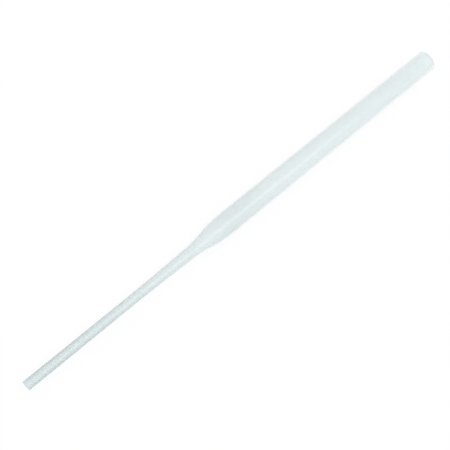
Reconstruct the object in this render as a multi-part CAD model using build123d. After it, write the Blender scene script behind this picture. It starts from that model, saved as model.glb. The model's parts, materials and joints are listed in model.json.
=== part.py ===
from build123d import *
import os
from math import radians, tan

# A plastic dropper pipette: one moulded tube, open at both ends. A narrow stem widens through
# a short flare and a rounded shoulder into the barrel, whose open mouth takes a rubber teat.
# It lies on its barrel, as it comes to rest on a bench. Its axis is level and runs along +X,
# from the cut tip to the mouth. The origin is under the middle of its length, on the surface
# that the barrel rests on. Sizes are in millimetres.

# Lengths along the axis, in order from the tip to the mouth
STRAIGHT_STEM_LENGTH = 40.5
STEM_ROOT_LENGTH = 17.0
FLARE_LENGTH = 5.4
SHOULDER_LENGTH = 5.6
BARREL_LENGTH = 81.5

# Outside sizes
STEM_DIAMETER = 2.78
BARREL_DIAMETER = 6.45
STEM_SWELL = 0.48  # how far the stem's surface rises between its straight part and the flare
SHOULDER_DROP = 0.22  # how far the shoulder's corner lies below the barrel's surface

# The plastic is thinner where the tube was drawn out into the stem
STEM_WALL = 0.5
BARREL_WALL = 0.65

# Radii that ease each change of slope along the tube
STEM_EASING = 400.0
FLARE_EASING = 30.0
SHOULDER_EASING = 8.0
BARREL_EASING = 30.0

# Rounding of the edges at each open end
TIP_ROUNDING = 0.06
MOUTH_ROUNDING = 0.15

# The share of a straight leg that the rounding at one end of it may take up
LEG_SHARE = 0.45


def outline(stem_radius, barrel_radius):
    """One side of the tube as corners (distance from the tip, distance from the axis)."""
    root = STRAIGHT_STEM_LENGTH + STEM_ROOT_LENGTH
    shoulder = root + FLARE_LENGTH
    barrel = shoulder + SHOULDER_LENGTH
    return [
        (0, stem_radius),
        (STRAIGHT_STEM_LENGTH, stem_radius),
        (root, stem_radius + STEM_SWELL),
        (shoulder, barrel_radius - SHOULDER_DROP),
        (barrel, barrel_radius),
        (barrel + BARREL_LENGTH, barrel_radius),
    ]


def fitted(corners, radii):
    """The radii of a closed chain's corners, each no larger than its two legs leave room for."""
    result = []
    for i, radius in enumerate(radii):
        before, here, after = (Vector(*corners[(i + k) % len(corners)]) for k in (-1, 0, 1))
        arriving, leaving = here - before, after - here
        room = LEG_SHARE * min(arriving.length, leaving.length)
        result.append(min(radius, room / tan(radians(arriving.get_angle(leaving) / 2))))
    return result


def wall_section():
    """The wall cut lengthwise, on one side of the axis: the outside, then back along the bore."""
    outside = outline(STEM_DIAMETER / 2, BARREL_DIAMETER / 2)
    bore = outline(STEM_DIAMETER / 2 - STEM_WALL, BARREL_DIAMETER / 2 - BARREL_WALL)
    radii = [TIP_ROUNDING, STEM_EASING, FLARE_EASING, SHOULDER_EASING, BARREL_EASING, MOUTH_ROUNDING]
    corners = outside + bore[::-1]
    return make_face(FilletPolyline(*corners, radius=fitted(corners, radii + radii[::-1]), close=True))


def pipette():
    """The whole tube, turned about its axis and laid on its barrel with its length centred."""
    length = STRAIGHT_STEM_LENGTH + STEM_ROOT_LENGTH + FLARE_LENGTH + SHOULDER_LENGTH + BARREL_LENGTH
    return Pos(-length / 2, 0, BARREL_DIAMETER / 2) * revolve(wall_section(), Axis.X)


os.makedirs("parts", exist_ok=True)
export_step(pipette(), "parts/pipette.step")
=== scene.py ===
import json
from math import cos, pi, radians, sin, tan

import bpy
from bpy.props import (
    FloatProperty,
    FloatVectorProperty,
    IntProperty,
    PointerProperty,
)
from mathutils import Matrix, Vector


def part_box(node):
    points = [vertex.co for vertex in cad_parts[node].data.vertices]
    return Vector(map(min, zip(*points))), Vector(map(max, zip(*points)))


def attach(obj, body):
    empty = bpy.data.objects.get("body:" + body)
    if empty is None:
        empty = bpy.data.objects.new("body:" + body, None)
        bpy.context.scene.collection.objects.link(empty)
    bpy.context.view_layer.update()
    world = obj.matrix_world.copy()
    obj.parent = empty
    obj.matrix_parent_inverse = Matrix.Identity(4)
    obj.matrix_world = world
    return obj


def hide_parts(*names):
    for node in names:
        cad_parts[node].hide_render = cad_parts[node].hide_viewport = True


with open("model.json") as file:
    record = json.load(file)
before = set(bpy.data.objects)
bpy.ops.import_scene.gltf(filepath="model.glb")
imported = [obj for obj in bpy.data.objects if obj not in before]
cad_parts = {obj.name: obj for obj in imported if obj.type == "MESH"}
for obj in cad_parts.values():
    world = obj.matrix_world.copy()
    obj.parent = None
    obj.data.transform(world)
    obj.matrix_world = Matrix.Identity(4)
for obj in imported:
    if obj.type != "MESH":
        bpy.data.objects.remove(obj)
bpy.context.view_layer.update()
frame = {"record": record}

bl_info = {
    "name": "Dropper pipette",
    "version": (1, 0, 0),
    "blender": (4, 5, 0),
    "location": "View3D > Sidebar > Pipette",
    "description": "Dresses the plastic dropper pipette in frosted plastic on a pale bench",
    "category": "Object",
}

MILLIMETRE = 0.001
WHITE = (1.0, 1.0, 1.0, 1.0)

LOW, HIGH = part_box("pipette")
AXIS_HEIGHT = (LOW.z + HIGH.z) / 2
MOUNTS = {mount["name"]: mount for mount in frame["record"]["mounts"]}

# A point is on a ring of the tube when it is this close to it
RING_TOLERANCE = 0.002 * MILLIMETRE
# The most that one easing takes of a leg of the outline, so that two of them never meet
LEG_SHARE = 0.45
# Faces that meet at less than this angle are shaded as one surface
SMOOTH_BELOW = radians(40)
# The nearest thing that the camera shows, as a share of its distance from the pipette
NEAREST_SHOWN = 0.01

# How far a wall is turned away from the eye, from 0 for square on to 1 for edge-on, where each
# of these starts and where it is full
# The first sets the painted shade on the stem's walls where they are seen edge-on
EDGE_SHADE_TURN = (0.0, 0.35)
MILK_LOSS_TURN = (0.4, 0.8)
# The share of the painted rim shade's width, from the mouth inwards, that has its full painted shade
RIM_SHADE_FULL_SHARE = 0.3
# What the soft random values vary around, and how much their finer layers count
NOISE_MIDDLE = 0.5
NOISE_ROUGHNESS = 0.6


def radius_of(mount):
    """The radius of a mount, in metres."""
    return MOUNTS[mount]["dims"]["r_mm"] * MILLIMETRE


# ---------------------------------------------------------------- sizes and colours


def length(name, description, default):
    """A length that a user can change, in metres."""
    return FloatProperty(
        name=name, description=description, default=default, subtype="DISTANCE",
        unit="LENGTH", precision=5,
    )


def share(name, description, default):
    """A share from 0 to 1 that a user can change."""
    return FloatProperty(
        name=name, description=description, default=default, min=0, max=1, subtype="FACTOR"
    )


def angle(name, description, default):
    """An angle that a user can change, in radians."""
    return FloatProperty(name=name, description=description, default=default, subtype="ANGLE")


def amount(name, description, default, **limits):
    """A plain number that a user can change."""
    return FloatProperty(name=name, description=description, default=default, **limits)


def tint(name, description, default):
    """A colour that a user can change."""
    return FloatVectorProperty(
        name=name, description=description, subtype="COLOR", size=4, min=0, max=1,
        default=(*default, 1.0),
    )


class TubeSizes(bpy.types.PropertyGroup):
    """Sizes of the moulded tube."""

    straight_stem: length(
        "Straight stem", "From the tip to where the stem starts to swell", 40.5 * MILLIMETRE
    )
    stem_root: length("Stem root", "The stretch over which the stem swells", 17.0 * MILLIMETRE)
    flare: length("Flare", "The cone from the stem to the shoulder's corner", 5.4 * MILLIMETRE)
    shoulder: length(
        "Shoulder", "From the shoulder's corner to the straight barrel", 5.6 * MILLIMETRE
    )
    swell: length("Swell", "How far the stem's surface rises along its root", 0.48 * MILLIMETRE)
    drop: length("Drop", "How far the shoulder's corner lies below the barrel", 0.22 * MILLIMETRE)
    stem_radius: length("Stem radius", "Outside radius of the straight stem", radius_of("stem"))
    stem_bore: length("Stem bore", "Radius of the passage in the stem", radius_of("tip"))
    barrel_radius: length("Barrel radius", "Outside radius of the barrel", radius_of("barrel"))
    barrel_bore: length("Barrel bore", "Inside radius of the barrel", radius_of("mouth"))
    stem_easing: length("Stem easing", "Rounding where the stem starts to swell", 400 * MILLIMETRE)
    flare_easing: length("Flare easing", "Rounding at the narrow end of the flare", 27 * MILLIMETRE)
    shoulder_easing: length("Shoulder easing", "Rounding of the shoulder's corner", 8 * MILLIMETRE)
    barrel_easing: length("Barrel easing", "Rounding where the barrel begins", 30 * MILLIMETRE)
    tip_rounding: length("Tip rounding", "Rounding of the cut edges at the tip", 0.06 * MILLIMETRE)
    mouth_rounding: length(
        "Mouth rounding", "Rounding of the edges at the mouth", 0.15 * MILLIMETRE
    )
    sides: IntProperty(
        name="Sides", description="Faces around the tube", default=128, min=16, max=256
    )
    easing_steps: IntProperty(
        name="Easing steps", description="Faces across each eased corner", default=8, min=1, max=16
    )


class PlasticLook(bpy.types.PropertyGroup):
    """The frosted plastic."""

    barrel_colour: tint("Barrel colour", "Tint of the plastic in the barrel", (0.93, 0.995, 0.994))
    stem_colour: tint("Stem colour", "Tint of the plastic in the stem", (0.86, 0.938, 0.939))
    paling_from: length(
        "Paling from", "Where along +X the stem's tint starts to pale", -58 * MILLIMETRE
    )
    paling_to: length(
        "Paling to", "Where along +X the barrel's tint is reached", -8 * MILLIMETRE
    )
    cloud_colour: tint(
        "Cloud colour", "Tint that the faint clouds in the plastic add", (0.96, 0.97, 0.975)
    )
    cloud_scale: amount("Cloud scale", "How many clouds fit into a metre", 260.0, min=0)
    # Painted shade: a darker band over the shoulder, rising from Shoulder from to Shoulder full and
    # fading from Shoulder fading to Shoulder gone
    shoulder_shade_colour: tint("Shoulder colour", "Tint that the shoulder adds", (0.955, 0.965, 0.97))
    shoulder_from: length(
        "Shoulder from", "Where along +X the shoulder's tint starts", -13 * MILLIMETRE
    )
    shoulder_full: length(
        "Shoulder full", "Where along +X the shoulder's tint is reached", -8 * MILLIMETRE
    )
    shoulder_fading: length(
        "Shoulder fading", "Where along +X the shoulder's tint starts to fade", -3 * MILLIMETRE
    )
    shoulder_gone: length(
        "Shoulder gone", "Where along +X the shoulder's tint has faded away", 12 * MILLIMETRE
    )
    # Painted shade: a dark clear plastic mixed in where the stem's wall is seen edge-on draws the
    # stem's dark outline; partly the real deeper tint of a wall seen along its length
    edge_shade_colour: tint(
        "Edge colour", "Colour of the clear plastic in the stem's walls", (0.66, 0.74, 0.75)
    )
    edge_shade_clearness: share(
        "Edge clearness", "Share of clear plastic where the stem's wall is seen edge-on", 0.24
    )
    edge_softness: share("Edge softness", "Roughness of the clear plastic", 0.2)
    edge_fades_at: length(
        "Edge fades at", "Where along +X the clear edge has faded away", -5 * MILLIMETRE
    )
    # Painted shade: a darker band round the cut rim at the mouth, where the wall is seen through its
    # thickness
    rim_shade_colour: tint("Rim colour", "Tint of the cut rim at the mouth", (0.92, 0.91, 0.905))
    rim_shade_width: length(
        "Rim width", "How far the rim's tint reaches in from the mouth", 0.8 * MILLIMETRE
    )
    clearness: share("Clearness", "Share of the light that passes straight through the wall", 0.06)
    milkiness: share("Milkiness", "Share of the light that spreads out inside the wall", 0.3)
    edge_shine: share(
        "Edge shine", "Share of the milkiness that is lost where the wall is seen edge-on", 0.6
    )
    milk_colour: tint(
        "Milk colour", "Colour of the light that has spread through the wall", (0.96, 0.99, 0.995)
    )
    bending: amount(
        "Refractive index", "How strongly the plastic bends light", 1.5, min=1, max=2
    )
    frosting: share("Frosting", "Roughness of the satin surface", 0.33)
    cloud_frosting: share("Cloud frosting", "How much the clouds change that roughness", 0.08)
    gloss: share("Gloss", "Strength of the thin gloss that the mould left", 1.0)
    gloss_softness: share("Gloss softness", "Roughness of the mould's gloss", 0.2)
    draw_lines: length("Draw lines", "Depth of the faint lengthwise lines", 0.02 * MILLIMETRE)
    line_scale: amount("Line scale", "How closely the lines lie around the tube", 3.0, min=0)
    line_change: amount("Line change", "How quickly the lines change along the tube", 12.0, min=0)
    grain: length("Grain", "Depth of the satin grain", 0.004 * MILLIMETRE)
    grain_scale: amount("Grain scale", "How many grains fit into a metre", 4000.0, min=0)


class BenchSetup(bpy.types.PropertyGroup):
    """Bench, light and camera."""

    bench_colour: tint("Bench colour", "Colour of the bench", (0.97, 0.97, 0.97))
    bench_size: length("Bench size", "Side of the bench", 3.0)
    whiteness: share("Whiteness", "How far the bench goes towards plain white", 0.88)
    daylight: amount(
        "Daylight", "Strength of the even light from all round", 0.945, min=0, max=2
    )
    lamp_power: FloatProperty(
        name="Lamp power", description="Power of the soft lamp beside the bench",
        default=0.37, min=0, max=20, subtype="POWER", unit="POWER",
    )
    lamp_length: length("Lamp length", "Length of the lamp, which lies along the pipette", 0.38)
    lamp_width: length("Lamp width", "Width of the lamp", 0.15)
    lamp_distance: length("Lamp distance", "From the pipette's axis to the lamp", 0.47)
    lamp_height: angle(
        "Lamp height", "Height of the lamp above the bench as an angle", radians(59)
    )
    lamp_shift: length("Lamp shift", "How far along +X the lamp's middle stands", 0.11)
    camera_distance: length("Camera distance", "From the pipette to the camera", 0.2454)
    camera_height: angle(
        "Camera height", "Height of the camera above the bench as an angle", radians(61.28)
    )
    camera_bearing: angle(
        "Camera bearing", "Angle between the camera's view and the +Y axis", radians(45.24)
    )
    camera_lens: amount("Camera lens", "Focal length in millimetres", 71.1, min=10)
    aim_left: length("Aim left", "How far left of the pipette's middle the camera aims", 0.00537)
    aim_low: length("Aim low", "How far below the pipette's middle the camera aims", 0.00492)


# ---------------------------------------------------------------- shader nodes


class Number:
    """A number on a node's output, on which plain arithmetic adds the Math nodes."""

    def __init__(self, nodes, socket):
        self.nodes = nodes
        self.socket = socket

    def combined(self, operation, *values):
        settings = {"operation": operation}
        node = self.nodes.add("ShaderNodeMath", settings, dict(enumerate(values)))
        return Number(self.nodes, node.outputs[0])

    def __add__(self, other):
        return self.combined("ADD", self, other)

    def __sub__(self, other):
        return self.combined("SUBTRACT", self, other)

    def __rsub__(self, other):
        return self.combined("SUBTRACT", other, self)

    def __mul__(self, other):
        return self.combined("MULTIPLY", self, other)

    def larger(self, other):
        return self.combined("MAXIMUM", self, other)

    __radd__ = __add__
    __rmul__ = __mul__


class Nodes:
    """The shader nodes of a material or of the surroundings, added one at a time."""

    def __init__(self, owner):
        owner.use_nodes = True
        self.tree = owner.node_tree
        self.tree.nodes.clear()

    def add(self, kind, settings=None, inputs=None):
        """Adds a node, with its settings made first and then its sockets set or linked."""
        node = self.tree.nodes.new(kind)
        for name, value in (settings or {}).items():
            setattr(node, name, value)
        for key, value in (inputs or {}).items():
            socket = self.socket(node.inputs, key)
            source = value.socket if isinstance(value, Number) else value
            if isinstance(source, bpy.types.NodeSocket):
                self.tree.links.new(source, socket)
            else:
                socket.default_value = source
        return node

    @staticmethod
    def socket(sockets, key):
        """A socket by its place, name or identifier."""
        if isinstance(key, int):
            return sockets[key]
        return next(s for s in sockets if s.enabled and key in (s.name, s.identifier))

    def number(self, node, key):
        return Number(self, self.socket(node.outputs, key))

    def noise(self, place, scale, detail):
        """Soft random values over a place."""
        node = self.add(
            "ShaderNodeTexNoise", {"noise_dimensions": "3D"},
            {"Vector": place, "Scale": scale, "Detail": detail, "Roughness": NOISE_ROUGHNESS},
        )
        return self.number(node, "Fac")

    def faded(self, value, start, end):
        """A number that goes smoothly from 0 at the start to 1 at the end."""
        node = self.add(
            "ShaderNodeMapRange", {"interpolation_type": "SMOOTHSTEP"},
            {"Value": value, "From Min": start, "From Max": end},
        )
        return self.number(node, "Result")

    def vector_maths(self, operation, *values):
        node = self.add("ShaderNodeVectorMath", {"operation": operation}, dict(enumerate(values)))
        return node.outputs[0]

    def mixed(self, factor, a, b, blend="MIX"):
        """One colour laid over another."""
        node = self.add(
            "ShaderNodeMix", {"data_type": "RGBA", "blend_type": blend},
            {"Factor_Float": factor, "A_Color": a, "B_Color": b},
        )
        return self.socket(node.outputs, "Result_Color")

    def bumped(self, height, depth, normal=None):
        inputs = {"Strength": 1.0, "Distance": depth, "Height": height}
        if normal:
            inputs["Normal"] = normal
        return self.add("ShaderNodeBump", inputs=inputs).outputs["Normal"]

    def seen(self):
        """1 for what the camera sees, straight or by way of a gloss or a clear wall; 0 for light."""
        rays = self.add("ShaderNodeLightPath")
        clear = self.number(rays, "Is Transmission Ray")
        return self.number(rays, "Is Camera Ray").larger(
            self.number(rays, "Is Glossy Ray").larger(clear)
        )


def frosted_plastic(look):
    """Satin, see-through moulded plastic with faint lengthwise lines and soft clouds, and with
    painted shade over the shoulder, round the rim at the mouth and along the stem's edge-on walls.
    """
    material = bpy.data.materials.new("frosted plastic")
    nodes = Nodes(material)
    place = nodes.add("ShaderNodeTexCoord").outputs["Object"]
    x = nodes.number(nodes.add("ShaderNodeSeparateXYZ", inputs={0: place}), "X")
    centred = nodes.vector_maths("SUBTRACT", place, (0.0, 0.0, AXIS_HEIGHT))
    across = nodes.vector_maths("MULTIPLY", centred, (0.0, 1.0, 1.0))
    around = nodes.vector_maths("NORMALIZE", across)
    along = nodes.vector_maths("MULTIPLY", place, (look.line_change, 0.0, 0.0))
    lines = nodes.noise(nodes.vector_maths("ADD", along, around), look.line_scale, detail=3.0)
    clouds = nodes.noise(place, look.cloud_scale, detail=3.0)
    grain = nodes.noise(place, look.grain_scale, detail=2.0)
    turn = nodes.number(nodes.add("ShaderNodeLayerWeight"), "Facing")
    # Painted shade: how much the dark clear plastic darkens the stem's edge-on walls, fading out
    # before the barrel
    edge = nodes.faded(turn, *EDGE_SHADE_TURN) * (1.0 - nodes.faded(x, LOW.x, look.edge_fades_at))
    # Painted shade: a darker band over the last stretch of the tube before the mouth
    rim_shade_full = HIGH.x - RIM_SHADE_FULL_SHARE * look.rim_shade_width
    rim = nodes.faded(x, HIGH.x - look.rim_shade_width, rim_shade_full)
    # Painted shade: a darker band over the shoulder
    paling = nodes.faded(x, look.paling_from, look.paling_to)
    shoulder_shade_rising = nodes.faded(x, look.shoulder_from, look.shoulder_full)
    shoulder = shoulder_shade_rising * (1.0 - nodes.faded(x, look.shoulder_fading, look.shoulder_gone))
    colour = nodes.mixed(paling, look.stem_colour, look.barrel_colour)
    colour = nodes.mixed(shoulder, colour, look.shoulder_shade_colour, "MULTIPLY")
    colour = nodes.mixed(rim, colour, look.rim_shade_colour, "MULTIPLY")
    surface = nodes.add(
        "ShaderNodeBsdfPrincipled",
        inputs={
            "Base Color": nodes.mixed(clouds, colour, look.cloud_colour, "MULTIPLY"),
            "Roughness": look.frosting + look.cloud_frosting * (clouds - NOISE_MIDDLE),
            "IOR": look.bending,
            "Transmission Weight": look.clearness,
            "Coat Weight": look.gloss,
            "Coat Roughness": look.gloss_softness,
            "Normal": nodes.bumped(grain, look.grain, nodes.bumped(lines, look.draw_lines)),
        },
    )
    milk = nodes.add("ShaderNodeBsdfTranslucent", inputs={"Color": look.milk_colour})
    entering = look.milkiness * (1.0 - look.edge_shine * nodes.faded(turn, *MILK_LOSS_TURN))
    frosted = nodes.add(
        "ShaderNodeMixShader", inputs={0: entering, 1: surface.outputs[0], 2: milk.outputs[0]}
    )
    # Painted shade along the stem's outline: a dark clear plastic mixed in where the wall is seen
    # edge-on
    clear = nodes.add(
        "ShaderNodeBsdfGlass",
        inputs={
            "Color": look.edge_shade_colour,
            "Roughness": look.edge_softness,
            "IOR": look.bending,
        },
    )
    shader = nodes.add(
        "ShaderNodeMixShader",
        inputs={0: look.edge_shade_clearness * edge, 1: frosted.outputs[0], 2: clear.outputs[0]},
    )
    nodes.add("ShaderNodeOutputMaterial", inputs={"Surface": shader.outputs[0]})
    return material


def pale_bench(setup):
    """A plain matt bench that reads as white and still takes the pipette's shadow."""
    material = bpy.data.materials.new("pale bench")
    nodes = Nodes(material)
    matt = nodes.add("ShaderNodeBsdfDiffuse", inputs={"Color": setup.bench_colour})
    white = nodes.add("ShaderNodeEmission", inputs={"Color": WHITE, "Strength": 1.0})
    shader = nodes.add(
        "ShaderNodeMixShader",
        inputs={0: nodes.seen() * setup.whiteness, 1: matt.outputs[0], 2: white.outputs[0]},
    )
    nodes.add("ShaderNodeOutputMaterial", inputs={"Surface": shader.outputs[0]})
    return material


def white_surroundings(daylight):
    """Even daylight that is plain white wherever it is seen or mirrored."""
    world = bpy.data.worlds.new("daylight")
    nodes = Nodes(world)
    light, white = (
        nodes.add("ShaderNodeBackground", inputs={"Color": WHITE, "Strength": strength}).outputs[0]
        for strength in (daylight, 1.0)
    )
    shader = nodes.add("ShaderNodeMixShader", inputs={0: nodes.seen(), 1: light, 2: white})
    nodes.add("ShaderNodeOutputWorld", inputs={"Surface": shader.outputs[0]})
    return world


# ---------------------------------------------------------------- modelling


def start_fresh():
    """Leaves edit mode and deselects everything, so that an operator acts on new work only."""
    if bpy.context.object and bpy.context.object.mode != "OBJECT":
        bpy.ops.object.mode_set(mode="OBJECT")
    bpy.ops.object.select_all(action="DESELECT")


def select_rings(tube, rings):
    """In edit mode, selects the rings of the tube that lie at these (distance, radius) places."""
    bpy.ops.mesh.select_all(action="DESELECT")
    bpy.ops.object.mode_set(mode="OBJECT")
    for vertex in tube.data.vertices:
        place = tube.matrix_world @ vertex.co
        radius = Vector((place.y, place.z - AXIS_HEIGHT)).length
        vertex.select = any(
            abs(place.x - LOW.x - distance) < RING_TOLERANCE
            and abs(radius - ring) < RING_TOLERANCE
            for distance, ring in rings
        )
    bpy.ops.object.mode_set(mode="EDIT")


def easing_offset(before, corner, after, rounding):
    """How far back along its legs a corner of the outline is cut to leave an arc of that radius."""
    arriving = Vector(corner) - Vector(before)
    leaving = Vector(after) - Vector(corner)
    reach = rounding * tan(arriving.angle(leaving) / 2)
    return min(reach, LEG_SHARE * arriving.length, LEG_SHARE * leaving.length)


def tube_outline(sizes, stem_radius, barrel_radius):
    """One surface of the tube, from the tip to the mouth, as (distance from the tip, radius)."""
    root = sizes.straight_stem + sizes.stem_root
    corner = root + sizes.flare
    return [
        (0.0, stem_radius),
        (sizes.straight_stem, stem_radius),
        (root, stem_radius + sizes.swell),
        (corner, barrel_radius - sizes.drop),
        (corner + sizes.shoulder, barrel_radius),
        (HIGH.x - LOW.x, barrel_radius),
    ]


class PIPETTE_OT_tube(bpy.types.Operator):
    """Turn the tube from its tip to its mouth, with its bore, and ease its corners"""

    bl_idname = "pipette.tube"
    bl_label = "Turn the tube"

    def execute(self, context):
        sizes = context.scene.pipette_tube
        outside = tube_outline(sizes, sizes.stem_radius, sizes.barrel_radius)
        bore = tube_outline(sizes, sizes.stem_bore, sizes.barrel_bore)
        corners = outside + bore[::-1]

        start_fresh()
        bpy.ops.mesh.primitive_circle_add(
            vertices=sizes.sides, radius=sizes.stem_radius, fill_type="NOTHING",
            location=(LOW.x, 0.0, AXIS_HEIGHT), rotation=(0.0, pi / 2, 0.0),
        )
        tube = context.object
        tube.name = tube.data.name = "tube"

        # Draw the ring along the outside to the mouth, in over the rim, and back along the bore
        bpy.ops.object.mode_set(mode="EDIT")
        for (here, radius), (there, next_radius) in zip(corners, corners[1:]):
            bpy.ops.mesh.extrude_region_move(
                TRANSFORM_OT_translate={"value": (there - here, 0.0, 0.0)}
            )
            scale = next_radius / radius
            bpy.ops.transform.resize(
                value=(1.0, scale, scale), center_override=(LOW.x + there, 0.0, AXIS_HEIGHT)
            )
        select_rings(tube, [corners[0], corners[-1]])
        bpy.ops.mesh.bridge_edge_loops()

        # Ease every corner, on the outside and in the bore alike
        easings = [
            sizes.tip_rounding, sizes.stem_easing, sizes.flare_easing,
            sizes.shoulder_easing, sizes.barrel_easing, sizes.mouth_rounding,
        ]
        roundings = easings + easings[::-1]
        for i, (corner, rounding) in enumerate(zip(corners, roundings)):
            after = corners[(i + 1) % len(corners)]
            select_rings(tube, [corner])
            bpy.ops.mesh.bevel(
                offset=easing_offset(corners[i - 1], corner, after, rounding),
                offset_type="OFFSET", segments=sizes.easing_steps, profile=0.5, affect="EDGES",
            )
        bpy.ops.mesh.select_all(action="SELECT")
        bpy.ops.mesh.normals_make_consistent(inside=False)
        bpy.ops.object.mode_set(mode="OBJECT")
        bpy.ops.object.transform_apply(location=True, rotation=True, scale=True)
        bpy.ops.object.shade_smooth_by_angle(angle=SMOOTH_BELOW)

        tube.data.materials.append(frosted_plastic(context.scene.pipette_plastic))
        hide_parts("pipette")
        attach(tube, "root")
        return {"FINISHED"}


def toward(bearing, height):
    """The direction from the pipette to something at that bearing and height."""
    return Vector((-sin(bearing) * cos(height), -cos(bearing) * cos(height), sin(height)))


class PIPETTE_OT_bench(bpy.types.Operator):
    """Lay the bench, and set the light and the camera"""

    bl_idname = "pipette.bench"
    bl_label = "Set the bench"

    def execute(self, context):
        setup = context.scene.pipette_bench
        middle = (LOW + HIGH) / 2

        start_fresh()
        bpy.ops.mesh.primitive_plane_add(size=setup.bench_size, location=(0.0, 0.0, LOW.z))
        bench = context.object
        bench.name = bench.data.name = "bench"
        bpy.ops.object.transform_apply(location=True, rotation=True, scale=True)
        bench.data.materials.append(pale_bench(setup))

        context.scene.world = white_surroundings(setup.daylight)
        direction = toward(0.0, setup.lamp_height)
        bpy.ops.object.light_add(
            type="AREA",
            location=middle + setup.lamp_distance * direction + Vector((setup.lamp_shift, 0.0, 0.0)),
            rotation=(-direction).to_track_quat("-Z", "Y").to_euler(),
        )
        lamp = context.object
        lamp.name = lamp.data.name = "soft lamp"
        lamp.data.energy = setup.lamp_power
        lamp.data.shape = "RECTANGLE"
        lamp.data.size = setup.lamp_length
        lamp.data.size_y = setup.lamp_width

        direction = toward(setup.camera_bearing, setup.camera_height)
        turn = (-direction).to_track_quat("-Z", "Y")
        place = middle + setup.camera_distance * direction
        aim = middle - turn @ Vector((setup.aim_left, setup.aim_low, 0.0))
        bpy.ops.object.camera_add(
            location=place, rotation=(aim - place).to_track_quat("-Z", "Y").to_euler()
        )
        context.scene.camera = context.object
        context.object.data.lens = setup.camera_lens
        context.object.data.clip_start = NEAREST_SHOWN * setup.camera_distance
        context.scene.view_settings.view_transform = "Standard"
        return {"FINISHED"}


class PIPETTE_PT_sidebar(bpy.types.Panel):
    """Lists the steps, with their sizes and colours"""

    bl_idname = "PIPETTE_PT_sidebar"
    bl_label = "Dropper pipette"
    bl_space_type = "VIEW_3D"
    bl_region_type = "UI"
    bl_category = "Pipette"

    def draw(self, context):
        for step, *groups in STEPS:
            box = self.layout.box()
            for group in groups:
                values = getattr(context.scene, group)
                for name in values.bl_rna.properties.keys():
                    if name not in ("rna_type", "name"):
                        box.prop(values, name)
            box.operator(step)


GROUPS = {
    "pipette_tube": TubeSizes,
    "pipette_plastic": PlasticLook,
    "pipette_bench": BenchSetup,
}
STEPS = [
    ("pipette.tube", "pipette_tube", "pipette_plastic"),
    ("pipette.bench", "pipette_bench"),
]
CLASSES = [*GROUPS.values(), PIPETTE_OT_tube, PIPETTE_OT_bench, PIPETTE_PT_sidebar]


def register():
    for part in CLASSES:
        bpy.utils.register_class(part)
    for name, group in GROUPS.items():
        setattr(bpy.types.Scene, name, PointerProperty(type=group))


def unregister():
    for name in GROUPS:
        delattr(bpy.types.Scene, name)
    for part in reversed(CLASSES):
        bpy.utils.unregister_class(part)


def main():
    register()
    bpy.ops.pipette.tube()
    bpy.ops.pipette.bench()


if __name__ == "__main__":
    main()
